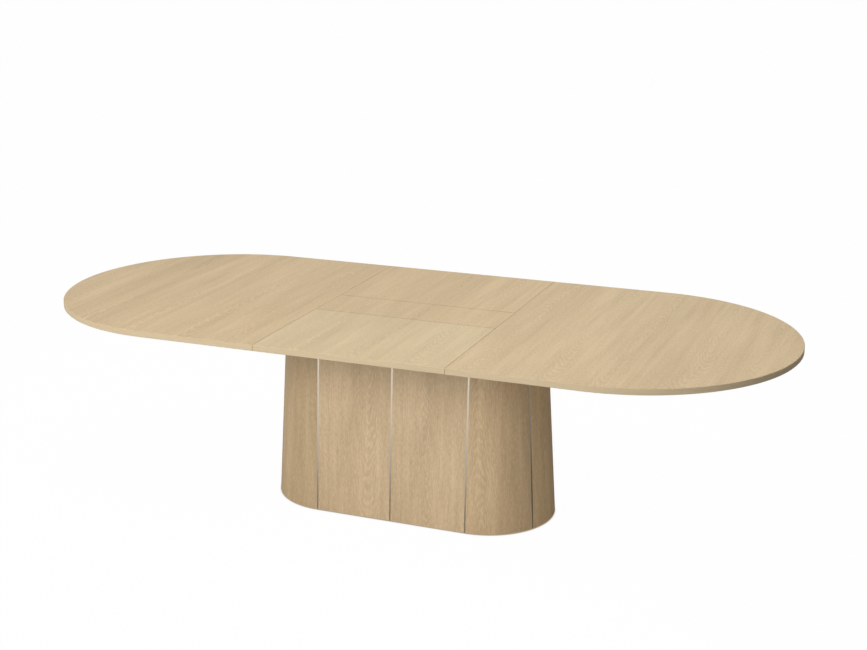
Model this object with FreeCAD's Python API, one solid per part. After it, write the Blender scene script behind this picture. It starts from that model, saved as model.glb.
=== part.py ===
import FreeCAD, Part
import math
import os

# Opened table top, in millimetres
top_length = 2800.0
top_width = 1200.0
table_height = 735.0
board_thickness = 22.0
edge_ease = 1.5
right_seam_gap = 1.4
left_seam_gap = 0.9

# Folding leaf: a centre strip with a wing hinged along each side
leaf_length = 700.0
strip_width = 216.0
fold_gap = 1.4
hinge_length = 40.0
hinge_thickness = 12.0
hinge_depth = 26.0
hinge_seat = 0.05
hinge_count = 3
hinge_spacing = 265.0

# Hollow tapered pedestal, a stadium in plan
pedestal_straight = 584.0
foot_radius = 250.0
rim_radius = 212.0
foot_gap = 4.0
panel_thickness = 18.0
inlay_width = 6.0
inlay_angle = 30.0

# Frame inside the pedestal
base_thickness = 24.0
former_thickness = 24.0
former_clearance = 6.0
frame_fit = 0.3
rim_bar_height = 40.0
rim_bar_width = 22.0
rim_bar_drop = 30.0
glide_radius = 20.0
glide_spacing = 420.0
glide_inset = 40.0
ballast_length = 560.0
ballast_width = 260.0
ballast_thickness = 10.0
ballast_corner = 20.0

# Arms across the pedestal's rim, under the rails
arm_width = 60.0
arm_thickness = 24.0
arm_gap = 8.0
arm_overhang = 10.0
arm_tip_thickness = 14.0
arm_taper_length = 110.0

# Lipped steel rails that guide the runners
rail_centre = 315.0
rail_drop = 3.0
rail_length = 940.0
rail_height = 36.0
rail_wall = 3.0
rail_lip = 5.0
slide_clearance = 0.5

# Runner bars with racks, geared to one pinion in each rail
opening_travel = 30.0
tooth_module = 2.5
pinion_teeth = 17
pressure_angle = 20.0
root_factor_share = 1.25
backlash = 0.2
rack_margin = 20.0
runner_width = 14.0
runner_reach = 500.0
land_width = 9.0
land_setback = 10.0
pinion_thickness = 16.0
pinion_float = 0.3
pin_radius = 5.0
pin_clearance = 0.05
pin_shoulder = 9.0
pin_shoulder_height = 7.0
pin_head = 3.0

# Pads on the rails and tongues under the seams, which carry the wings
rest_clearance = 0.3
pad_length = 60.0
pad_width = 6.0
pad_place = 220.0
tongue_width = 60.0
tongue_hold = 70.0
tongue_reach = 25.0
tongue_thickness = 12.0
right_tongue_share = 0.6
left_tongue_share = 0.25

# Lift that carries the leaf's centre strip on two upright posts
carriage_width = 140.0
carriage_thickness = 18.0
carriage_inset = 4.0
carriage_corner = 30.0
hanger_thickness = 8.0
hanger_width = 90.0
hanger_foot_width = 48.0
guide_height = 70.0
guide_rest_gap = 6.0
guide_width = 48.0
guide_depth = 44.0
guide_corner = 6.0
post_width = 24.0
post_gap = 20.0
post_seat = 0.05
post_clearance = 0.1
catch_radius = 7.0
catch_length = 16.0
catch_notch = 1.5
catch_notch_height = 8.0

# One overrun serves every through cut, one tolerance every choice of edges
overrun = 5.0
edge_tolerance = 0.01

# Levels and half sizes that the pieces share
half_top_length = top_length / 2
half_top_width = top_width / 2
half_leaf = leaf_length / 2
half_strip = strip_width / 2
half_straight = pedestal_straight / 2
board_bottom = table_height - board_thickness
base_top = foot_gap + base_thickness
rail_top = board_bottom - rail_drop
arm_top = rail_top - rail_height
rim_height = arm_top - arm_thickness
former_bottom = rim_height - former_thickness
rail_floor = arm_top + rail_wall
lip_bottom = rail_top - rail_wall
pitch_radius = tooth_module * pinion_teeth / 2
tooth_pitch = math.pi * tooth_module
tooth_root = root_factor_share * tooth_module
rack_root = pitch_radius + tooth_root
runner_back = rack_root + runner_width
rail_inner = runner_back + slide_clearance
rail_outer = rail_inner + rail_wall
rail_side = rail_centre + rail_outer
former_inner = half_leaf + former_clearance
post_place = half_leaf + post_gap

Vector = FreeCAD.Vector
ORIGIN = Vector(0, 0, 0)
ACROSS = Vector(1, 0, 0)
DEPTH = Vector(0, 1, 0)
UP = Vector(0, 0, 1)

os.makedirs("parts", exist_ok=True)


def save(name, *solids):
    """Write one node, a single solid or a set of like pieces."""
    shape = solids[0] if len(solids) == 1 else Part.makeCompound(list(solids))
    shape.exportStep("parts/" + name + ".step")


def block(x_span, y_span, z_span):
    """Upright box between three pairs of limits."""
    sides = [span[1] - span[0] for span in (x_span, y_span, z_span)]
    return Part.makeBox(*sides, Vector(x_span[0], y_span[0], z_span[0]))


def prism(points, direction):
    """Solid of a closed outline carried along a direction."""
    return Part.Face(Part.makePolygon(points + points[:1])).extrude(direction)


def disc(radius, place, z_span):
    """Upright cylinder at a place in plan."""
    return Part.makeCylinder(radius, z_span[1] - z_span[0], Vector(place[0], place[1], z_span[0]))


def mirror_x(shape):
    return shape.mirror(ORIGIN, ACROSS)


def mirror_y(shape):
    return shape.mirror(ORIGIN, DEPTH)


def stadium(straight, radius, z_span):
    """Upright plate with two straight sides and two round ends."""
    bar = block((-straight, straight), (-radius, radius), z_span)
    ends = [disc(radius, (x, 0), z_span) for x in (-straight, straight)]
    return bar.fuse(ends).removeSplitter()


def square_bar(width, z_span):
    """Upright square bar at the right post's place."""
    return block((post_place - width / 2, post_place + width / 2), (-width / 2, width / 2), z_span)


def upright_edges(solid):
    """Edges that stand along Z, for rounded corners in plan."""
    return [edge for edge in solid.Edges
            if edge.BoundBox.XLength < edge_tolerance and edge.BoundBox.YLength < edge_tolerance]


# Wall of the pedestal: slanted flat panels, conical end panels and the steel bars between them

def wall_radius(z):
    """Outer half width of the tapered wall at a height."""
    slope = (foot_radius - rim_radius) / (rim_height - foot_gap)
    return foot_radius - slope * (z - foot_gap)


def flat_wall(x_span):
    """Front stretch of the wall between two places along its straight side."""
    inner_foot = foot_radius - panel_thickness
    inner_rim = rim_radius - panel_thickness
    section = [Vector(x_span[0], -foot_radius, foot_gap), Vector(x_span[0], -rim_radius, rim_height),
               Vector(x_span[0], -inner_rim, rim_height), Vector(x_span[0], -inner_foot, foot_gap)]
    return prism(section, ACROSS * (x_span[1] - x_span[0]))


def end_wall(angle_span):
    """Conical panel of the right end, its edges half an inlay clear of two radial planes."""
    height = rim_height - foot_gap
    seat = Vector(half_straight, 0, foot_gap)
    outer = Part.makeCone(foot_radius, rim_radius, height, seat)
    inner = Part.makeCone(foot_radius - panel_thickness, rim_radius - panel_thickness, height, seat)
    first, last = (math.radians(angle) for angle in angle_span)
    middle = (first + last) / 2
    half_turn = (last - first) / 2
    middle_way = Vector(math.cos(middle), math.sin(middle), 0)
    apex = seat + middle_way * (inlay_width / 2 / math.sin(half_turn))
    reach = foot_radius + foot_radius
    wedge = [apex,
             apex + Vector(math.cos(first), math.sin(first), 0) * reach,
             apex + middle_way * (reach / math.cos(half_turn)),
             apex + Vector(math.cos(last), math.sin(last), 0) * reach]
    return outer.cut(inner).common(prism(wedge, UP * height))


def inlay(place):
    """Steel bar set flush between two front panels."""
    return flat_wall((place - inlay_width / 2, place + inlay_width / 2))


def end_inlay(angle):
    """Steel bar set flush between two panels of the right end."""
    bar = inlay(half_straight)
    bar.rotate(Vector(half_straight, 0, 0), UP, angle + 90)
    return bar


front_right_panel = flat_wall((inlay_width / 2, half_straight - inlay_width / 2))
save("front_right_panel", front_right_panel)
save("front_left_panel", mirror_x(front_right_panel))
save("back_right_panel", mirror_y(front_right_panel))
save("back_left_panel", mirror_x(mirror_y(front_right_panel)))

end_front_panel = end_wall((-90, -inlay_angle))
end_middle_panel = end_wall((-inlay_angle, inlay_angle))
save("right_end_front_panel", end_front_panel)
save("right_end_middle_panel", end_middle_panel)
save("right_end_back_panel", mirror_y(end_front_panel))
save("left_end_front_panel", mirror_x(end_front_panel))
save("left_end_middle_panel", mirror_x(end_middle_panel))
save("left_end_back_panel", mirror_x(mirror_y(end_front_panel)))

front_inlays = [inlay(place) for place in (-half_straight, 0, half_straight)]
end_inlays = [end_inlay(angle) for angle in (-inlay_angle, inlay_angle)]
save("front_inlays", *front_inlays)
save("back_inlays", *[mirror_y(bar) for bar in front_inlays])
save("right_end_inlays", *end_inlays)
save("left_end_inlays", *[mirror_x(bar) for bar in end_inlays])


# Base plate on glides, with a steel ballast plate bolted on it

base_radius = wall_radius(base_top) - panel_thickness - frame_fit
save("base_plate", stadium(half_straight, base_radius, (foot_gap, base_top)))

ballast = block((-ballast_length / 2, ballast_length / 2), (-ballast_width / 2, ballast_width / 2),
                (base_top, base_top + ballast_thickness))
save("ballast_plate", ballast.makeFillet(ballast_corner, upright_edges(ballast)))

glide_side = base_radius - glide_inset
glide_places = [(x, y) for x in (-glide_spacing / 2, glide_spacing / 2) for y in (-glide_side, glide_side)]
glide_places += [(side * (half_straight + glide_side), 0) for side in (-1, 1)]
save("floor_glides", *[disc(glide_radius, place, (0, foot_gap)) for place in glide_places])


# Formers that hold the rim: a plate in each round end and a bar along each straight side

rim_inside = rim_radius - panel_thickness - frame_fit
former = stadium(half_straight, rim_inside, (former_bottom, rim_height))
former = former.common(block((former_inner, half_straight + rim_radius), (-rim_radius, rim_radius),
                             (former_bottom, rim_height)))
former = former.cut(square_bar(post_width + post_seat + post_seat,
                               (former_bottom - overrun, rim_height + overrun)))
save("right_former", former)
save("left_former", mirror_x(former))

bar_top = rim_height - rim_bar_drop
bar_bottom = bar_top - rim_bar_height
bar_inner = wall_radius(bar_top) - panel_thickness - rim_bar_width
bar_end = half_straight - inlay_width
rim_bar = prism([Vector(-bar_end, -bar_inner, bar_bottom), Vector(-bar_end, -bar_inner, bar_top),
                 Vector(-bar_end, panel_thickness - wall_radius(bar_top), bar_top),
                 Vector(-bar_end, panel_thickness - wall_radius(bar_bottom), bar_bottom)],
                ACROSS * (bar_end + bar_end))
save("front_rim_bar", rim_bar)
save("back_rim_bar", mirror_y(rim_bar))


# Arms across the rim, thinned towards their tips from below

arm_start = post_place + post_width / 2 + arm_gap
arm_half = rail_side + arm_overhang
arm_thick_half = arm_half - arm_taper_length
arm_tip_bottom = arm_top - arm_tip_thickness
arm = prism([Vector(arm_start, -arm_half, arm_top), Vector(arm_start, arm_half, arm_top),
             Vector(arm_start, arm_half, arm_tip_bottom), Vector(arm_start, arm_thick_half, rim_height),
             Vector(arm_start, -arm_thick_half, rim_height), Vector(arm_start, -arm_half, arm_tip_bottom)],
            ACROSS * arm_width)
save("right_arm", arm)
save("left_arm", mirror_x(arm))


# Rails: lipped channels lying on the arms

def channel(y_centre):
    """Lipped channel, open at the top and at both ends."""
    ends = (-rail_length / 2, rail_length / 2)
    past = (ends[0] - overrun, ends[1] + overrun)
    mouth = rail_inner - rail_lip
    outside = block(ends, (y_centre - rail_outer, y_centre + rail_outer), (arm_top, rail_top))
    hollow = block(past, (y_centre - rail_inner, y_centre + rail_inner), (rail_floor, lip_bottom))
    slot = block(past, (y_centre - mouth, y_centre + mouth), (rail_floor, rail_top + overrun))
    return outside.cut([hollow, slot])


front_rail = channel(-rail_centre)
save("front_rail", front_rail)
save("back_rail", mirror_y(front_rail))


# Pinion and its shouldered pin, standing at the middle of each rail

pinion_bottom = rail_floor + pin_shoulder_height + pinion_float
pinion_top = pinion_bottom + pinion_thickness


def pinion_outline():
    """Involute teeth with one tooth pointing to the table's middle, flanks in short chords."""
    pressure = math.radians(pressure_angle)
    base_radius_of_gear = pitch_radius * math.cos(pressure)
    tip_radius = pitch_radius + tooth_module
    root_radius = pitch_radius - tooth_root
    half_tooth = math.pi / (2 * pinion_teeth) - backlash / (4 * pitch_radius)
    flank_steps = 3
    points = []
    for tooth in range(pinion_teeth):
        centre = math.pi / 2 + tooth * 2 * math.pi / pinion_teeth
        rising = []
        for step in range(flank_steps + 1):
            radius = base_radius_of_gear + (tip_radius - base_radius_of_gear) * step / flank_steps
            roll = math.acos(base_radius_of_gear / radius)
            spread = half_tooth + math.tan(pressure) - pressure - math.tan(roll) + roll
            rising.append((radius, spread))
        rising.insert(0, (root_radius, rising[0][1]))
        for radius, spread in rising:
            points.append((radius, centre - spread))
        for radius, spread in reversed(rising):
            points.append((radius, centre + spread))
    return points


pinion_points = [Vector(radius * math.cos(turn), radius * math.sin(turn) - rail_centre, pinion_bottom)
                 for radius, turn in pinion_outline()]
pinion = prism(pinion_points, UP * pinion_thickness)
pinion = pinion.cut(disc(pin_radius + pin_clearance, (0, -rail_centre),
                         (pinion_bottom - overrun, pinion_top + overrun)))
save("front_pinion", pinion)
save("back_pinion", mirror_y(pinion))

pin_place = (0, -rail_centre)
pin_top = pinion_top + pin_head
flats = [turn * math.pi / 3 for turn in range(6)]
corners = [Vector(pin_shoulder * math.cos(turn), pin_shoulder * math.sin(turn) - rail_centre, rail_floor)
           for turn in flats]
shoulder = prism(corners, UP * pin_shoulder_height)
pin = shoulder.fuse(disc(pin_radius, pin_place, (rail_floor + pin_shoulder_height, pin_top)))
save("front_pinion_pin", pin)
save("back_pinion_pin", mirror_y(pin))


# Runner bars: a rack along the inner stretch, a raised land screwed under the board

runner_bottom = rail_floor + slide_clearance
runner_top = lip_bottom - slide_clearance


def rack_teeth(shift_share):
    """Plan points of the rack from right to left, moved along by a share of one pitch."""
    lean = math.tan(math.radians(pressure_angle))
    half_pitch_line = tooth_pitch / 4 - backlash / 4
    half_tip = half_pitch_line - tooth_module * lean
    half_root = half_pitch_line + tooth_root * lean
    first = -math.ceil((opening_travel + rack_margin) / tooth_pitch)
    last = math.ceil((half_leaf + rack_margin) / tooth_pitch)
    points = []
    for tooth in range(last, first - 1, -1):
        middle = (tooth + shift_share) * tooth_pitch
        points += [(middle + half_root, rack_root), (middle + half_tip, pitch_radius - tooth_module),
                   (middle - half_tip, pitch_radius - tooth_module), (middle - half_root, rack_root)]
    return points


def runner(shift_share):
    """Right runner of the front rail, on the side of the pinion that faces the table's middle."""
    inner_end = -(opening_travel + rack_margin + rack_margin)
    outer_end = half_leaf + runner_reach
    plan = [(inner_end, runner_back), (outer_end, runner_back), (outer_end, rack_root)]
    plan += rack_teeth(shift_share) + [(inner_end, rack_root)]
    outline = [Vector(x, y - rail_centre, runner_bottom) for x, y in plan]
    bar = prism(outline, UP * (runner_top - runner_bottom))
    land_side = rack_root - rail_centre
    land = block((half_leaf + land_setback, outer_end), (land_side, land_side + land_width),
                 (runner_top, board_bottom))
    return bar.fuse(land)


gap_facing_share = 0.5
tooth_facing_share = 0.0
right_front_runner = runner(gap_facing_share)
left_front_runner = runner(tooth_facing_share)
left_front_runner.rotate(Vector(0, -rail_centre, 0), UP, 180)
save("right_front_runner", right_front_runner)
save("right_back_runner", mirror_y(right_front_runner))
save("left_front_runner", left_front_runner)
save("left_back_runner", mirror_y(left_front_runner))


# Pads on the rails' outer lips, a hair under the wings

pad = block((pad_place - pad_length / 2, pad_place + pad_length / 2), (-rail_side, -rail_side + pad_width),
            (rail_top, board_bottom - rest_clearance))
save("front_right_pad", pad)
save("front_left_pad", mirror_x(pad))
save("back_right_pad", mirror_y(pad))
save("back_left_pad", mirror_x(mirror_y(pad)))


# Half tops with round ends, and the tongues under their seam edges

def half_top(seam_gap):
    """Right-hand board that starts half a seam away from the leaf's end, its rim eased."""
    board = stadium(half_top_length - half_top_width, half_top_width, (board_bottom, table_height))
    board = board.common(block((half_leaf + seam_gap / 2, half_top_length), (-half_top_width, half_top_width),
                               (board_bottom, table_height)))
    rim_edges = [edge for edge in board.Edges
                 if edge.BoundBox.ZLength < edge_tolerance < edge.BoundBox.XLength]
    return board.makeChamfer(edge_ease, rim_edges)


save("right_top", half_top(right_seam_gap))
save("left_top", mirror_x(half_top(left_seam_gap)))


def tongue(place_share):
    """Batten under the right seam edge, between rail and rim, whose lowered nose reaches under a wing."""
    place = rail_side + place_share * (half_top_width - rail_side)
    across = (-place - tongue_width / 2, -place + tongue_width / 2)
    bottom = board_bottom - tongue_thickness
    held = block((half_leaf, half_leaf + tongue_hold), across, (bottom, board_bottom))
    nose = block((half_leaf - tongue_reach, half_leaf), across, (bottom, board_bottom - rest_clearance))
    return held.fuse(nose)


right_tongue = tongue(right_tongue_share)
left_tongue = mirror_x(tongue(left_tongue_share))
save("right_front_tongue", right_tongue)
save("right_back_tongue", mirror_y(right_tongue))
save("left_front_tongue", left_tongue)
save("left_back_tongue", mirror_y(left_tongue))


# Leaf: centre strip, two wings, and bodies of the concealed hinges set in their facing edges

leaf_x = (-half_leaf + left_seam_gap / 2, half_leaf - right_seam_gap / 2)
strip_edge = half_strip - fold_gap / 2
wing_edge = half_strip + fold_gap / 2
board_middle = table_height - board_thickness / 2
hinge_places = [(step - (hinge_count - 1) / 2) * hinge_spacing for step in range(hinge_count)]


def hinge_bodies(y_span, spare):
    """Blocks sunk into a board's edge, or their seats with some spare on the long sides."""
    half_length = hinge_length / 2 + spare
    half_height = hinge_thickness / 2 + spare
    z_span = (board_middle - half_height, board_middle + half_height)
    return [block((x - half_length, x + half_length), y_span, z_span) for x in hinge_places]


strip_hinges = hinge_bodies((-strip_edge, -strip_edge + hinge_depth), 0)
strip_seats = hinge_bodies((-strip_edge, -strip_edge + hinge_depth), hinge_seat)
strip = block(leaf_x, (-strip_edge, strip_edge), (board_bottom, table_height))
strip = strip.cut(strip_seats + [mirror_y(seat) for seat in strip_seats])
save("leaf_strip", strip)
save("strip_hinges", *strip_hinges, *[mirror_y(hinge) for hinge in strip_hinges])

wing = block(leaf_x, (-half_top_width, -wing_edge), (board_bottom, table_height))
outer_edges = [edge for edge in wing.Edges
               if edge.BoundBox.YMax < -wing_edge - edge_tolerance and edge.BoundBox.XLength > edge_tolerance]
wing = wing.makeChamfer(edge_ease, outer_edges)
wing = wing.cut(hinge_bodies((-wing_edge - hinge_depth, -wing_edge), hinge_seat))
wing_hinges = hinge_bodies((-wing_edge - hinge_depth, -wing_edge), 0)
save("front_wing", wing)
save("back_wing", mirror_y(wing))
save("front_wing_hinges", *wing_hinges)
save("back_wing_hinges", *[mirror_y(hinge) for hinge in wing_hinges])


# Lift: carriage under the strip, hangers at its ends, guides that run on two posts

carriage_end = half_leaf - carriage_inset
carriage_bottom = board_bottom - carriage_thickness
guide_top = former_bottom - guide_rest_gap
guide_bottom = guide_top - guide_height
carriage = block((-carriage_end, carriage_end), (-carriage_width / 2, carriage_width / 2),
                 (carriage_bottom, board_bottom))
save("leaf_carriage", carriage.makeFillet(carriage_corner, upright_edges(carriage)))

hanger_inner = carriage_end - hanger_thickness
hanger = prism([Vector(hanger_inner, -hanger_width / 2, carriage_bottom),
                Vector(hanger_inner, hanger_width / 2, carriage_bottom),
                Vector(hanger_inner, hanger_foot_width / 2, guide_top),
                Vector(hanger_inner, hanger_foot_width / 2, guide_bottom),
                Vector(hanger_inner, -hanger_foot_width / 2, guide_bottom),
                Vector(hanger_inner, -hanger_foot_width / 2, guide_top)], ACROSS * hanger_thickness)
save("right_hanger", hanger)
save("left_hanger", mirror_x(hanger))

catch_height = (guide_bottom + guide_top) / 2
guide = block((carriage_end, carriage_end + guide_depth), (-guide_width / 2, guide_width / 2),
              (guide_bottom, guide_top))
far_edges = [edge for edge in upright_edges(guide) if edge.BoundBox.XMin > carriage_end + edge_tolerance]
guide = guide.makeFillet(guide_corner, far_edges)
catch = Part.makeCylinder(catch_radius, guide_width / 2 + catch_length,
                          Vector(post_place, 0, catch_height), DEPTH * -1)
guide = guide.fuse(catch)
guide = guide.cut(square_bar(post_width + post_clearance + post_clearance,
                             (guide_bottom - overrun, guide_top + overrun)))
save("right_guide", guide)
save("left_guide", mirror_x(guide))

post = square_bar(post_width, (base_top, rim_height))
notch_span = (catch_height - catch_notch_height / 2, catch_height + catch_notch_height / 2)
notch = block((post_place - post_width, post_place + post_width),
              (-post_width, -post_width / 2 + catch_notch), notch_span)
post = post.cut(notch)
save("right_post", post)
save("left_post", mirror_x(post))
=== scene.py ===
import math
import bpy
from mathutils import Matrix, Vector


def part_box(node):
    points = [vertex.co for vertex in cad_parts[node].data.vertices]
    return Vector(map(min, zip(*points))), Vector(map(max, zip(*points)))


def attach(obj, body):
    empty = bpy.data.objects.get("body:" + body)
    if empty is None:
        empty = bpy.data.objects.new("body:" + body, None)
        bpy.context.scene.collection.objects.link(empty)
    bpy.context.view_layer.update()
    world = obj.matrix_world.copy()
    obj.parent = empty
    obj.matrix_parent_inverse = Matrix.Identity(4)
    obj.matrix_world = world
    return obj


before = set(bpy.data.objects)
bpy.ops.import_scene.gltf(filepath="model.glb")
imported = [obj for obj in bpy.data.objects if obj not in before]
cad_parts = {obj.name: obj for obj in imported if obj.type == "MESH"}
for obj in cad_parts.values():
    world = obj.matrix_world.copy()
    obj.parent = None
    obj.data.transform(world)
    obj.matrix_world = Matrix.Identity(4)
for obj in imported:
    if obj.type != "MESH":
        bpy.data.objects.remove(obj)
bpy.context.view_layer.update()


# Floor glides: six low discs under the base plate that keep the table off the floor.
# Black polyethylene, turned from bar and screwed up into the plywood.

def start_material(name):
    """A new material with its tree, its shader and the place on the piece."""
    material = bpy.data.materials.new(name)
    material.use_nodes = True
    tree = material.node_tree
    place = tree.nodes.new("ShaderNodeTexCoord").outputs["Object"]
    return material, tree, tree.nodes["Principled BSDF"], place


def put(tree, kind, inputs, output=0, **settings):
    """Adds one node, sets or links its inputs, and gives back one of its outputs."""
    node = tree.nodes.new("ShaderNode" + kind)
    for name, value in settings.items():
        setattr(node, name, value)
    for name, value in inputs.items():
        if isinstance(value, bpy.types.NodeSocket):
            tree.links.new(value, node.inputs[name])
        else:
            node.inputs[name].default_value = value
    return node.outputs[output]


def speckle(tree, place, scale, detail=2.0, stretch=(1, 1, 1)):
    """Noise of so many spots to the metre, drawn out along the axes."""
    drawn = put(tree, "Mapping", {"Vector": place, "Scale": stretch})
    return put(tree, "TexNoise", {"Vector": drawn, "Scale": scale, "Detail": detail,
                                  "Roughness": 0.6})


def ramp(tree, value, start, end, low, high, **settings):
    """A number that runs from low to high as the value runs from start to end."""
    return put(tree, "MapRange", {"Value": value, "From Min": start, "From Max": end,
                                  "To Min": low, "To Max": high}, **settings)


def between(tree, noise, low, high):
    """A number that runs from low to high over the usual reach of a noise."""
    return ramp(tree, noise, 0.3, 0.7, low, high)


def lay_over(tree, share, under, upper):
    """One colour laid over another by a share from 0 to 1."""
    return put(tree, "Mix", {0: share, 6: under, 7: upper}, output=2, data_type="RGBA")


def tint(tree, share, dark, light):
    """A colour that runs from dark to light as the share runs from 0 to 1."""
    return lay_over(tree, share, (*dark, 1), (*light, 1))


def coat(tree, shader, colour, roughness, height, depth):
    """Gives the shader its colour and roughness, and a relief so many metres deep."""
    tree.links.new(colour, shader.inputs["Base Color"])
    tree.links.new(roughness, shader.inputs["Roughness"])
    normal = put(tree, "Bump", {"Strength": 1.0, "Distance": depth, "Height": height})
    tree.links.new(normal, shader.inputs["Normal"])


def dress(material, *names):
    """Gives CAD nodes a finish."""
    for name in names:
        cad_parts[name].material_slots[0].material = material


def glide_plastic():
    """Black plastic under a haze of fine scuffs."""
    dark, light = (0.035, 0.035, 0.036), (0.085, 0.084, 0.082)
    material, tree, shader, place = start_material("glide plastic")
    scuff = speckle(tree, place, scale=160, detail=4)
    coat(tree, shader, tint(tree, scuff, dark, light), between(tree, scuff, 0.48, 0.7),
         height=scuff, depth=0.0002)
    return material


dress(glide_plastic(), "floor_glides")


# Base plate, formers and rim bars: the frame inside the pedestal that holds its foot and its rim.
# Birch plywood left raw, sawn to shape, so that thin dark and pale layers show on its edges.

def sums(tree, operation, first, second=0.0, third=0.0):
    """One step of arithmetic on numbers or patterns."""
    return put(tree, "Math", {0: first, 1: second, 2: third}, operation=operation)


def standing(tree, normal, limit):
    """1 on a face that stands upright, where its normal rises by less than the limit, or else 0."""
    rise = put(tree, "SeparateXYZ", {"Vector": normal}, output=2)
    return sums(tree, "LESS_THAN", sums(tree, "ABSOLUTE", rise), limit)


def birch_plywood():
    """Birch with fibres along its faces, and with layers that waver a little on its edges."""
    face_dark, face_light = (0.52, 0.37, 0.22), (0.68, 0.53, 0.35)
    edge_dark, edge_light = (0.30, 0.19, 0.10), (0.62, 0.46, 0.29)
    layers_per_metre, fibre_weight, cloud_weight = 333.0, 0.6, 0.4
    material, tree, shader, place = start_material("birch plywood")
    fibre = speckle(tree, place, scale=1.0, detail=4, stretch=(14, 260, 260))
    cloud = sums(tree, "MULTIPLY", speckle(tree, place, scale=5.0), cloud_weight)
    height = put(tree, "SeparateXYZ", {"Vector": place}, output=2)
    level = sums(tree, "ADD", sums(tree, "MULTIPLY", height, layers_per_metre), cloud)
    edge = tint(tree, sums(tree, "PINGPONG", level, 1.0), edge_dark, edge_light)
    share = sums(tree, "ADD", sums(tree, "MULTIPLY", fibre, fibre_weight), cloud)
    face = tint(tree, share, face_dark, face_light)
    upright = standing(tree, put(tree, "TexCoord", {}, output="Normal"), limit=0.6)
    coat(tree, shader, lay_over(tree, upright, face, edge), between(tree, fibre, 0.6, 0.78),
         height=fibre, depth=0.0004)
    return material


plywood = birch_plywood()
dress(plywood, "base_plate", "left_former", "right_former", "front_rim_bar", "back_rim_bar")


# Ballast plate: a heavy plate on the base plate that keeps the opened table from tipping.
# Flame-cut steel under a black powder coat with a fine orange-peel skin, bolted from below.

def black_powder_coat():
    """Black coat with a fine peel, a little dusty."""
    dark, light = (0.026, 0.026, 0.027), (0.062, 0.061, 0.060)
    material, tree, shader, place = start_material("black powder coat")
    peel = speckle(tree, place, scale=900)
    dust = speckle(tree, place, scale=9, detail=4)
    coat(tree, shader, tint(tree, dust, dark, light), between(tree, dust, 0.38, 0.55),
         height=peel, depth=0.0002)
    return material


powder_coat = black_powder_coat()
dress(powder_coat, "ballast_plate")


# Wall of the pedestal: ten panels, four flat and six bent to the round ends.
# Oak veneer on shaped board, the grain upright, each panel from its own sheets of veneer,
# under a satin lacquer. The board is left raw on the inside.

def swing(tree, value, pattern, weight):
    """Moves a value up and down by a pattern that swings about a half."""
    return sums(tree, "MULTIPLY_ADD", sums(tree, "SUBTRACT", pattern, 0.5), weight, value)


def growth_rings(tree, across, along, sheet_width, seed):
    """Arched rings of crown-cut sheets laid side by side, with the way to each sheet's heart
    and the sheet's own luck."""
    rings_per_metre, waver_rings = 210.0, 1.7
    heart_shift, heart_wander, arch_shift = sheet_width * 0.4, 0.11, 0.9
    least_slope, more_slope = 0.05, 0.08
    second_draw, noise_step, drawn_out = 37.5, 4.7, 0.4
    sheet = sums(tree, "ROUND", sums(tree, "DIVIDE", across, sheet_width))
    luck, lot = (put(tree, "TexWhiteNoise", {"W": sums(tree, "ADD", sheet, draw)},
                     noise_dimensions="1D") for draw in (seed, seed + second_draw))
    own = put(tree, "CombineXYZ", {"X": across, "Y": sums(tree, "MULTIPLY", along, drawn_out),
                                   "Z": sums(tree, "MULTIPLY_ADD", sheet, noise_step, seed)})
    wander = put(tree, "TexNoise", {"Vector": own, "Scale": 6.0, "Detail": 2.0,
                                    "Roughness": 0.45})
    waver = put(tree, "TexNoise", {"Vector": own, "Scale": 45.0, "Detail": 2.0,
                                   "Roughness": 0.5})
    aside = sums(tree, "MULTIPLY_ADD", sheet, -sheet_width, across)
    aside = swing(tree, aside, lot, heart_shift)
    aside = swing(tree, aside, wander, heart_wander)
    slope = sums(tree, "MULTIPLY_ADD", luck, more_slope, least_slope)
    crown = sums(tree, "MULTIPLY", swing(tree, along, lot, arch_shift), slope)
    radius = sums(tree, "SQRT", sums(tree, "MULTIPLY_ADD", aside, aside,
                                     sums(tree, "MULTIPLY", crown, crown)))
    count = sums(tree, "MULTIPLY_ADD", radius, rings_per_metre,
                 sums(tree, "MULTIPLY", waver, waver_rings))
    return sums(tree, "PINGPONG", count, 0.5), aside, luck


def shaded_arris(tree, grain, side, line, darkness):
    """Grain darkened along a fold or a seam: the darker core of the eased edges, and painted shade
    of the gap between the parts.
    """
    edge_colour, inner, outer = (0.20, 0.125, 0.06, 1), 0.0008, 0.0020
    off = sums(tree, "ABSOLUTE", sums(tree, "SUBTRACT", side, line))
    return lay_over(tree, ramp(tree, off, inner, outer, darkness, 0.0), grain, edge_colour)


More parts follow.
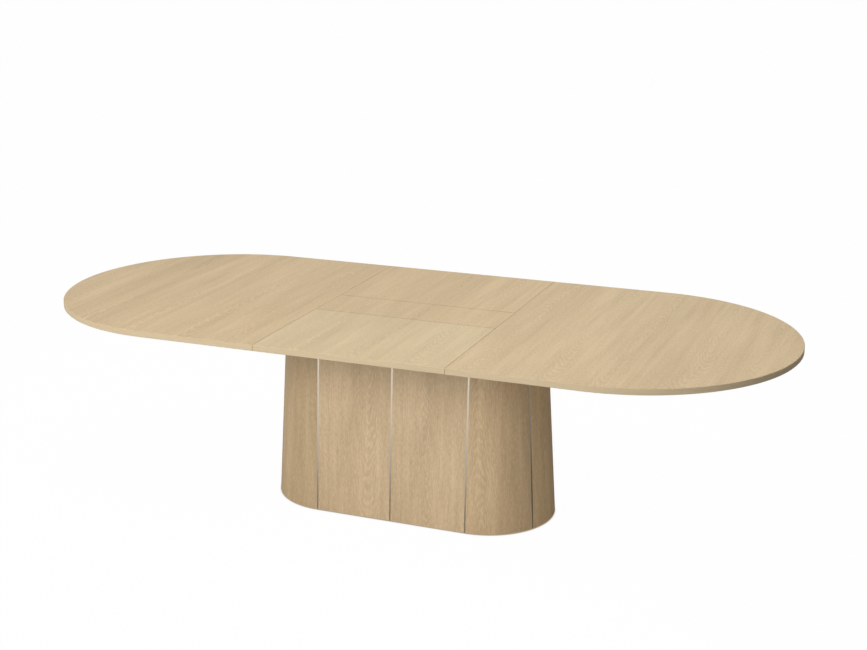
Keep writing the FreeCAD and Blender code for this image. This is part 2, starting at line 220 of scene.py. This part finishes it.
def oak_veneer(name, pale, deep, sheet_width, seed, turn=None, centre=(0, 0, 0), fold=None,
               seam=None, outward=None):
    """Crown-cut oak whose grain runs along y once the place on the piece is turned and centred.

    A board of the top says how far out its folds lie, or 0 for none, and gets lipping on its
    edges. It may also say where a seam's dark edge lies. A wall panel says which way is outward,
    and shows raw board on the other side."""
    paleness, pore_darkness, fold_darkness, seam_darkness = 0.58, -0.7, 0.6, 0.32
    raw_dark, raw_light = (0.35, 0.25, 0.16), (0.50, 0.375, 0.25)
    lipping_dark, lipping_light = (0.575, 0.45, 0.285), (0.725, 0.583, 0.38)
    material, tree, shader, place = start_material(name)
    turn = turn or Matrix.Identity(3)
    local = put(tree, "Mapping", {"Vector": place, "Rotation": turn.to_euler(),
                                  "Location": -(turn @ Vector(centre))})
    across = put(tree, "SeparateXYZ", {"Vector": local}, output=0)
    along = put(tree, "SeparateXYZ", {"Vector": local}, output=1)
    ring, aside, luck = growth_rings(tree, across, along, sheet_width, seed)
    streak = speckle(tree, local, scale=1.0, detail=3, stretch=(230, 4, 230))
    dash = speckle(tree, local, scale=1.0, stretch=(200, 60, 200))
    cloud = speckle(tree, local, scale=1.0, stretch=(9, 1.4, 9))
    band = speckle(tree, local, scale=1.0, stretch=(32, 1.9, 32))
    hair = speckle(tree, local, scale=1.0, stretch=(900, 40, 900))
    # The rings show near the heart, broken up by dashes, and the pores lie in the early wood.
    near = ramp(tree, sums(tree, "ABSOLUTE", aside), 0.015, 0.065, 1.0, 0.15)
    early = ramp(tree, ring, 0.05, 0.4, 1.0, 0.25)
    pore = ramp(tree, hair, 0.58, 0.70, 0.0, 1.0)
    broken = ramp(tree, dash, 0.38, 0.6, 0.2, 1.0)
    figure = sums(tree, "MULTIPLY", sums(tree, "SUBTRACT", ring, 0.25),
                  sums(tree, "MULTIPLY", near, broken))
    share = sums(tree, "ADD", figure, paleness)
    for pattern, weight in ((streak, 0.6), (dash, 1.0), (band, 1.0), (cloud, 0.7), (luck, 0.15)):
        share = swing(tree, share, pattern, weight)
    share = sums(tree, "MULTIPLY_ADD", sums(tree, "MULTIPLY", pore, early), pore_darkness, share)
    grain = tint(tree, share, deep, pale)
    normal = put(tree, "TexCoord", {}, output="Normal")
    if outward:
        raw = tint(tree, speckle(tree, place, scale=700, detail=3), raw_dark, raw_light)
        outer = put(tree, "VectorMath", {0: normal, 1: outward}, output=1,
                    operation="DOT_PRODUCT")
        grain = lay_over(tree, sums(tree, "LESS_THAN", outer, -0.3), grain, raw)
    if fold is not None:
        layer = speckle(tree, local, scale=1.0, detail=3, stretch=(5, 5, 420))
        lipping = tint(tree, swing(tree, 0.5, layer, 1.2), lipping_dark, lipping_light)
        grain = lay_over(tree, standing(tree, normal, limit=0.5), grain, lipping)
    # Dark lines along the folds and the seam: partly the darker core of eased edges, partly painted
    # shade of the gaps.
    if fold:
        grain = shaded_arris(tree, grain, sums(tree, "ABSOLUTE", along), fold, fold_darkness)
    if seam:
        grain = shaded_arris(tree, grain, across, seam, seam_darkness)
    relief = sums(tree, "MULTIPLY_ADD", streak, 0.4, sums(tree, "MULTIPLY", pore, -1.0))
    coat(tree, shader, grain, between(tree, streak, 0.46, 0.58), height=relief, depth=0.0001)
    shader.inputs["Specular IOR Level"].default_value = 0.25
    return material


wall_pale, wall_deep = (0.71, 0.54, 0.345), (0.46, 0.335, 0.198)
wall_sheet, wall_seed, seed_step = 0.32, 3.1, 11
end_centre = 0.292
# Which way each panel faces, in degrees round from the front, and the panels painted darker or
# paler: painted shade and painted light for how the light falls on them.
panel_faces = {
    "front_left_panel": 0, "front_right_panel": 0, "back_left_panel": 180, "back_right_panel": 180,
    "left_end_front_panel": -30, "left_end_middle_panel": -90, "left_end_back_panel": -150,
    "right_end_front_panel": 30, "right_end_middle_panel": 90, "right_end_back_panel": 150}
panel_painted_light = {
    "left_end_front_panel": (0.87, 0.86, 0.82), "right_end_front_panel": (0.985, 0.965, 0.925),
    "right_end_middle_panel": (1.19, 1.17, 1.09)}
upright_grain = Matrix.Rotation(-math.pi / 2, 3, "X")
for number, (name, face) in enumerate(panel_faces.items()):
    low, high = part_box(name)
    middle = (low + high) / 2
    if "end" in name:
        middle.x = math.copysign(end_centre, middle.x)
        middle.y = 0
    facing = math.radians(face)
    turned = upright_grain @ Matrix.Rotation(-facing, 3, "Z")
    # Scales this panel's colours: above 1 is painted light, below 1 is painted shade.
    shade = panel_painted_light.get(name, (1, 1, 1))
    pale, deep = ([part * share for part, share in zip(colour, shade)]
                  for colour in (wall_pale, wall_deep))
    dress(oak_veneer("oak " + name.replace("_", " "), pale, deep, wall_sheet,
                     wall_seed + seed_step * number, turned, middle,
                     outward=(math.sin(facing), -math.cos(facing), 0)), name)


# Inlay bars: ten upright bars let in flush between the panels, from the foot to the rim.
# Stainless steel strip brushed along its length.

def brushed_inlay():
    """Bright warm steel with fine upright brush lines."""
    dark, light = (0.74, 0.65, 0.53), (0.90, 0.79, 0.65)
    material, tree, shader, place = start_material("brushed inlay")
    lines = speckle(tree, place, scale=1.0, detail=3, stretch=(1500, 1500, 9))
    coat(tree, shader, tint(tree, lines, dark, light), between(tree, lines, 0.09, 0.16),
         height=lines, depth=0.00003)
    shader.inputs["Metallic"].default_value = 1.0
    return material


dress(brushed_inlay(), "front_inlays", "back_inlays", "left_end_inlays", "right_end_inlays")


# Arms: two arms across the rim that carry the rails, thinned from below towards their tips.
# Solid beech planed and oiled, with the short dark flecks of its rays.

def oiled_beech(name, grain):
    """Beech whose fibres and flecks run along one axis."""
    dark, light = (0.40, 0.245, 0.14), (0.62, 0.43, 0.28)
    material, tree, shader, place = start_material(name)
    fibre_stretch = [9 if axis == grain else 220 for axis in "xyz"]
    fleck_stretch = [130 if axis == grain else 800 for axis in "xyz"]
    fibre = speckle(tree, place, scale=1.0, detail=3, stretch=fibre_stretch)
    fleck = speckle(tree, place, scale=1.0, detail=1, stretch=fleck_stretch)
    dash = ramp(tree, fleck, 0.62, 0.7, 0.0, 0.5)
    share = sums(tree, "SUBTRACT", sums(tree, "MULTIPLY", fibre, 1.2), dash)
    coat(tree, shader, tint(tree, share, dark, light), between(tree, fibre, 0.46, 0.62),
         height=fibre, depth=0.0002)
    return material


dress(oiled_beech("oiled beech arm", "y"), "left_arm", "right_arm")


# Rails: two lipped channels that lie on the arms and guide the runners.
# Folded steel under the same black powder coat, bolted from below through the arms.

dress(powder_coat, "front_rail", "back_rail")


# Pads: four strips on the outer lips of the rails that carry the wings of the leaf.
# Pressed wool felt, dark grey, glued on.

def grey_felt():
    """Wool felt with a soft sheen."""
    dark, light = (0.10, 0.095, 0.09), (0.23, 0.22, 0.21)
    material, tree, shader, place = start_material("grey felt")
    wool = speckle(tree, place, scale=1600, detail=4)
    coat(tree, shader, tint(tree, wool, dark, light), between(tree, wool, 0.85, 0.98),
         height=wool, depth=0.0006)
    shader.inputs["Sheen Weight"].default_value = 0.4
    return material


dress(grey_felt(), "front_left_pad", "front_right_pad", "back_left_pad", "back_right_pad")


# Guide posts and pinion pins: the posts that the leaf's lift runs on, and the gears' axles.
# Cold-drawn steel, ground and wiped with oil. The posts stand on the base plate in seats in
# the formers, and the pins stand at the middle of the rails.

def ground_steel():
    """Bright steel with fine grinding lines and patches of oil."""
    dark, light = (0.52, 0.52, 0.53), (0.64, 0.64, 0.63)
    material, tree, shader, place = start_material("ground steel")
    lines = speckle(tree, place, scale=1.0, detail=3, stretch=(40, 1400, 700))
    oil = speckle(tree, place, scale=14, detail=3)
    coat(tree, shader, tint(tree, lines, dark, light), between(tree, oil, 0.30, 0.42),
         height=lines, depth=0.00002)
    shader.inputs["Metallic"].default_value = 1.0
    return material


bright_steel = ground_steel()
dress(bright_steel, "left_post", "right_post", "front_pinion_pin", "back_pinion_pin")


# Pinions: one gear in each rail, which makes both halves of the top slide by the same amount.
# Black nylon, cut and drilled, matt with faint tool lines, dropped over the pins.

def black_nylon():
    """Matt black nylon with a fine grain."""
    dark, light = (0.022, 0.022, 0.023), (0.060, 0.060, 0.062)
    material, tree, shader, place = start_material("black nylon")
    grainy = speckle(tree, place, scale=420, detail=3)
    coat(tree, shader, tint(tree, grainy, dark, light), between(tree, grainy, 0.42, 0.6),
         height=grainy, depth=0.00015)
    return material


nylon = black_nylon()
dress(nylon, "front_pinion", "back_pinion")


# Runners: four bars with racks, two to each half, that slide in the rails past the pinions.
# The same ground steel, with cut teeth and a raised land that is screwed up to the board.

dress(bright_steel, "right_front_runner", "right_back_runner", "left_front_runner",
      "left_back_runner")


# Tongues: four battens under the seam edges of the halves, with noses that reach under the wings.
# Oiled beech with its grain along the table, screwed up to the boards.

dress(oiled_beech("oiled beech tongue", "x"), "left_front_tongue", "left_back_tongue",
      "right_front_tongue", "right_back_tongue")


# Halves of the top: two boards with a straight side at the leaf and a half-round end.
# Oak veneer on board with the grain across the table, in sheets laid side by side from the seam,
# and a thin oak lipping.

top_pale, top_deep = (0.704, 0.530, 0.314), (0.493, 0.359, 0.199)
right_pale, right_deep = (0.714, 0.544, 0.329), (0.503, 0.372, 0.210)
# The first sheet's middle lies half a sheet out from the seam.
top_sheet, first_middle, right_seed, left_seed = 0.21, 0.455, 5.0, 23.0
dress(oak_veneer("oak right half", right_pale, right_deep, top_sheet, right_seed,
                 centre=(first_middle, 0, 0), fold=0), "right_top")
left_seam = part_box("left_top")[1].x
dress(oak_veneer("oak left half", top_pale, top_deep, top_sheet, left_seed,
                 centre=(-first_middle, 0, 0), fold=0, seam=left_seam + first_middle), "left_top")


# Lift: a carriage under the leaf's strip, a hanger at each end, and a guide that runs on each post.
# The carriage is the same plywood, the hangers are plate under the same powder coat, and the
# guides are sleeves of the same nylon.

dress(plywood, "leaf_carriage")
dress(powder_coat, "left_hanger", "right_hanger")
dress(nylon, "left_guide", "right_guide")


# Leaf: a centre strip on the lift and two wings hinged to it, which fold up along its sides.
# The same oak veneer, cut from one set of sheets, so its figure runs on over the fold lines.

leaf_sheet, leaf_seed, fold_line = 0.233, 61.0, 0.108
dress(oak_veneer("oak leaf", top_pale, top_deep, leaf_sheet, leaf_seed, fold=fold_line),
      "leaf_strip", "back_wing")
# The front wing is painted paler than the strip and the back wing: painted light for the lamp that
# falls most on the front of the leaf.
lit_wing_pale, lit_wing_deep = (0.719, 0.564, 0.343), (0.512, 0.394, 0.226)
dress(oak_veneer("oak front wing", lit_wing_pale, lit_wing_deep, leaf_sheet, leaf_seed, fold=fold_line),
      "front_wing")


# Leaf hinges: small bodies let into both edges of each fold.
# Satin brass, milled, with a trace of tarnish.

def satin_brass():
    """Brass with a few cloudy patches."""
    dark, light = (0.44, 0.31, 0.12), (0.66, 0.51, 0.22)
    material, tree, shader, place = start_material("satin brass")
    tarnish = speckle(tree, place, scale=60, detail=4)
    coat(tree, shader, tint(tree, tarnish, dark, light), between(tree, tarnish, 0.28, 0.45),
         height=tarnish, depth=0.0001)
    shader.inputs["Metallic"].default_value = 1.0
    return material


dress(satin_brass(), "strip_hinges", "front_wing_hinges", "back_wing_hinges")


# Screws and bolts: they hold the runners and tongues up to the halves, the rails down on the arms,
# and the ballast down on the base plate.
# Zinc-plated steel, cold headed from wire with a cross pressed in, driven from below.

def zinc_plate():
    """Bright zinc with a faint bloom."""
    dark, light = (0.42, 0.43, 0.44), (0.62, 0.61, 0.57)
    material, tree, shader, place = start_material("zinc plate")
    bloom = speckle(tree, place, scale=420, detail=3)
    coat(tree, shader, tint(tree, bloom, dark, light), between(tree, bloom, 0.26, 0.44),
         height=bloom, depth=0.00005)
    shader.inputs["Metallic"].default_value = 1.0
    return material


def screw_head(width, rise):
    """One head that faces down at the origin: a rounded disc with a skirt and a cross recess."""
    cells, skirt, recess_depth, recess_foot, crease = 7, 1.3, 0.8, 0.7, math.radians(40)
    bpy.ops.object.select_all(action="DESELECT")
    bpy.ops.mesh.primitive_grid_add(x_subdivisions=cells, y_subdivisions=cells, size=width)
    head = bpy.context.object
    bpy.ops.object.mode_set(mode="EDIT")
    bpy.ops.mesh.select_mode(type="FACE")
    bpy.ops.mesh.select_all(action="SELECT")
    bpy.ops.mesh.region_to_loop()
    bpy.ops.transform.tosphere(value=1.0)
    bpy.ops.mesh.extrude_region_move(TRANSFORM_OT_translate={"value": (0, 0, -rise)})
    bpy.ops.transform.resize(value=(skirt, skirt, 1))
    bpy.ops.mesh.edge_face_add()
    bpy.ops.mesh.select_all(action="SELECT")
    bpy.ops.mesh.normals_make_consistent(inside=False)
    bpy.ops.mesh.select_mode(type="FACE")
    bpy.ops.mesh.select_all(action="DESELECT")
    bpy.ops.object.mode_set(mode="OBJECT")
    cell = width / cells
    for face in head.data.polygons:
        short_side, long_side = sorted((abs(face.center.x), abs(face.center.y)))
        in_cross = short_side < cell * 0.5 and long_side < cell * 2.5
        face.select = face.normal.z > 0.9 and in_cross
    bpy.ops.object.mode_set(mode="EDIT")
    sink = {"value": (0, 0, -rise * recess_depth)}
    bpy.ops.mesh.extrude_region_move(TRANSFORM_OT_translate=sink)
    bpy.ops.transform.resize(value=(recess_foot, recess_foot, 1))
    bpy.ops.mesh.select_all(action="SELECT")
    bpy.ops.transform.translate(value=(0, 0, rise))
    bpy.ops.transform.rotate(value=math.pi, orient_axis="X", center_override=(0, 0, 0))
    bpy.ops.object.mode_set(mode="OBJECT")
    bpy.ops.object.shade_smooth_by_angle(angle=crease)
    return head


def drive(name, head, places, body):
    """Copies a head to each place, tipped to the face it sits on, and joins the copies."""
    copies = []
    for x, y, z, tip in places:
        copy = head.copy()
        copy.data = head.data.copy()
        bpy.context.scene.collection.objects.link(copy)
        copy.data.transform(Matrix.Translation((x, y, z)) @ Matrix.Rotation(tip, 4, "X"))
        copies.append(copy)
    bpy.ops.object.select_all(action="DESELECT")
    for copy in copies:
        copy.select_set(True)
    bpy.context.view_layer.objects.active = copies[0]
    bpy.ops.object.join()
    piece = bpy.context.object
    piece.name = name
    piece.data.materials.append(zinc)
    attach(piece, body)


zinc = zinc_plate()
wood_screw = screw_head(width=0.0066, rise=0.0012)
runner_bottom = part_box("right_front_runner")[0].z
tongue_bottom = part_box("right_front_tongue")[0].z
# The screws stand in line along the runners, and in pairs set askew on the tongues.
runner_stations = (0.52, 0.66, 0.80)
tongue_stations = ((0.372, -0.016), (0.402, 0.016))
for side, body, runner_line, tongue_line in ((1, "right_half", 0.2836, 0.5028),
                                             (-1, "left_half", 0.3464, 0.4177)):
    places = [(side * x, front * runner_line, runner_bottom, 0)
              for x in runner_stations for front in (-1, 1)]
    places += [(side * x, front * (tongue_line + step), tongue_bottom, 0)
               for x, step in tongue_stations for front in (-1, 1)]
    drive(body + "_screws", wood_screw, places, body)

bolt = screw_head(width=0.0095, rise=0.0022)
# The arms rise from their step towards the tips, and the bolts tip with them.
arm_bottom, arm_step, arm_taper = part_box("right_arm")[0].z, 0.2569, math.atan(10 / 110)
arm_stations = ((0.404, 0.300), (0.436, 0.330))
drive("arm_bolts", bolt,
      [(side * x, front * y, arm_bottom + (y - arm_step) * math.tan(arm_taper), front * arm_taper)
       for side in (-1, 1) for front in (-1, 1) for x, y in arm_stations], "pedestal")
base_bottom, bolt_x, bolt_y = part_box("base_plate")[0].z, 0.23, 0.1
drive("ballast_bolts", bolt,
      [(x, y, base_bottom, 0) for x in (-bolt_x, bolt_x) for y in (-bolt_y, bolt_y)], "pedestal")
for head in (wood_screw, bolt):
    bpy.data.objects.remove(head)


# Studio floor: a wide pale floor that runs off to white, with an opening under the base.
# Matt board, painted paler near the base than further off, a painted light that lifts the foot of
# the walls, and darker at the right, a painted shade on the right end.
# In reflections it is painted darker near the table and at the right, a painted shadow that the
# walls and bars mirror. The camera sees it white, with a narrow contact shadow round the foot, and
# it is clear from below.

opening_radius, floor_reaches = 0.236, ((5, 12, 1), (35, 35, 1))
bpy.ops.object.select_all(action="DESELECT")
bpy.ops.mesh.primitive_circle_add(vertices=64, radius=opening_radius)
floor = bpy.context.object
bpy.ops.object.mode_set(mode="EDIT")
bpy.ops.mesh.select_mode(type="VERT")
for side in (-1, 1):
    bpy.ops.mesh.select_all(action="DESELECT")
    bpy.ops.object.mode_set(mode="OBJECT")
    for corner in floor.data.vertices:
        corner.select = corner.co.x * side > 0.001
    bpy.ops.object.mode_set(mode="EDIT")
    bpy.ops.transform.translate(value=(side * end_centre, 0, 0))
bpy.ops.mesh.select_all(action="SELECT")
for reach in floor_reaches:
    bpy.ops.mesh.extrude_region_move()
    bpy.ops.transform.resize(value=reach)
bpy.ops.object.mode_set(mode="OBJECT")
if floor.data.polygons[0].normal.z < 0:
    floor.data.flip_normals()
floor.name = "studio_floor"

contact_shade, seen_white = (0.42, 0.33, 0.24), 0.985
floor_material, tree, shader, place = start_material("studio floor")
away = put(tree, "VectorMath", {0: place}, output=1, operation="LENGTH")
right = put(tree, "SeparateXYZ", {"Vector": place}, output=0)
# Tone seen in reflections: painted shadow near the table and painted shade at the right.
mirrored = sums(tree, "MULTIPLY",
                ramp(tree, away, 0.35, 2.4, 0.45, 0.8, interpolation_type="SMOOTHSTEP"),
                ramp(tree, right, 0.25, 0.85, 1.0, 0.42))
# Tone for other rays: painted light near the base, and painted shade further off and at the right.
matt = sums(tree, "MULTIPLY", ramp(tree, away, 0.6, 1.8, 0.94, 0.72),
            ramp(tree, right, 0.9, 1.9, 1.0, 0.5))
ray = tree.nodes.new("ShaderNodeLightPath")
tone = put(tree, "Mix", {0: ray.outputs["Is Glossy Ray"], 2: matt, 3: mirrored},
           data_type="FLOAT")
tree.links.new(tone, shader.inputs["Base Color"])
shader.inputs["Roughness"].default_value = 0.9
shader.inputs["Specular IOR Level"].default_value = 0.0
open_sky = put(tree, "AmbientOcclusion", {"Distance": 0.02}, output=1)
shadow = tint(tree, between(tree, open_sky, 0.0, 1.0), contact_shade, (1, 1, 1))
white = put(tree, "Emission", {"Color": shadow, "Strength": 1.0})
seen = sums(tree, "MULTIPLY", ray.outputs["Is Camera Ray"], seen_white)
lit = put(tree, "MixShader", {0: seen, 1: shader.outputs[0], 2: white})
below = put(tree, "NewGeometry", {}, output="Backfacing")
clear = put(tree, "BsdfTransparent", {})
skin = put(tree, "MixShader", {0: below, 1: lit, 2: clear})
tree.links.new(skin, tree.nodes["Material Output"].inputs["Surface"])
floor.data.materials.append(floor_material)


# Studio light: an even sky that is dimmer at both ends of the table, most at the right,
# a soft lamp low at the front left, and one overhead.

sky_level, right_dimming, left_dimming, mirror_dimming = 0.48, -0.31, -0.12, -0.55
world = bpy.data.worlds.new("studio sky")
bpy.context.scene.world = world
world.use_nodes = True
tree = world.node_tree
ray = tree.nodes.new("ShaderNodeLightPath")
way = tree.nodes.new("ShaderNodeTexCoord").outputs["Generated"]
right, left = (sums(tree, "MAXIMUM", put(tree, "VectorMath", {0: way, 1: end}, output=1,
                                         operation="DOT_PRODUCT"), 0.0)
               for end in ((0.95, 0.3, 0), (-0.95, 0.3, 0)))
dimmed = sums(tree, "MULTIPLY_ADD", right, right_dimming, sky_level)
dimmed = sums(tree, "MULTIPLY_ADD", left, left_dimming, dimmed)
mirrored = sums(tree, "MULTIPLY_ADD", right, mirror_dimming, 1.0)
shown = sums(tree, "MAXIMUM", ray.outputs["Is Camera Ray"], ray.outputs["Is Transmission Ray"])
strength = put(tree, "Mix", {0: ray.outputs["Is Glossy Ray"], 2: dimmed, 3: mirrored},
               data_type="FLOAT")
strength = put(tree, "Mix", {0: shown, 2: strength, 3: 1.0}, data_type="FLOAT")
background = tree.nodes["Background"]
background.inputs["Color"].default_value = (1, 1, 1, 1)
tree.links.new(strength, background.inputs["Strength"])

lamp_aim = Vector((0, 0, 0.7))
for name, stand, size, power in (("front_lamp", (-2.5, -7.0, 3.5), 4.2, 295),
                                 ("top_lamp", (0.3, -0.4, 4.6), 3.5, 74)):
    lamp_data = bpy.data.lights.new(name, "AREA")
    lamp_data.shape = "DISK"
    lamp_data.size = size
    lamp_data.energy = power
    lamp = bpy.data.objects.new(name, lamp_data)
    bpy.context.scene.collection.objects.link(lamp)
    lamp.location = stand
    lamp.rotation_euler = (lamp_aim - lamp.location).to_track_quat("-Z", "Y").to_euler()


# Camera: the photograph's viewing angle, a little to the right of the front and above the table.
# Its turn, tilt, distance, aim and lens are fitted to the outline, the seams and the bars.

camera_data = bpy.data.cameras.new("camera")
camera_data.sensor_width = 36.0
camera_data.lens = 61.666
camera = bpy.data.objects.new("camera", camera_data)
bpy.context.scene.collection.objects.link(camera)
turn, tilt, distance = math.radians(21.6443), math.radians(16.1804), 5.4376
aim = Vector((0.0733, 0, 0.6889))
back = Vector((math.sin(turn) * math.cos(tilt), -math.cos(turn) * math.cos(tilt), math.sin(tilt)))
camera.location = aim + back * distance
camera.rotation_euler = (-back).to_track_quat("-Z", "Y").to_euler()
bpy.context.scene.camera = camera
bpy.context.scene.view_settings.view_transform = "Standard"
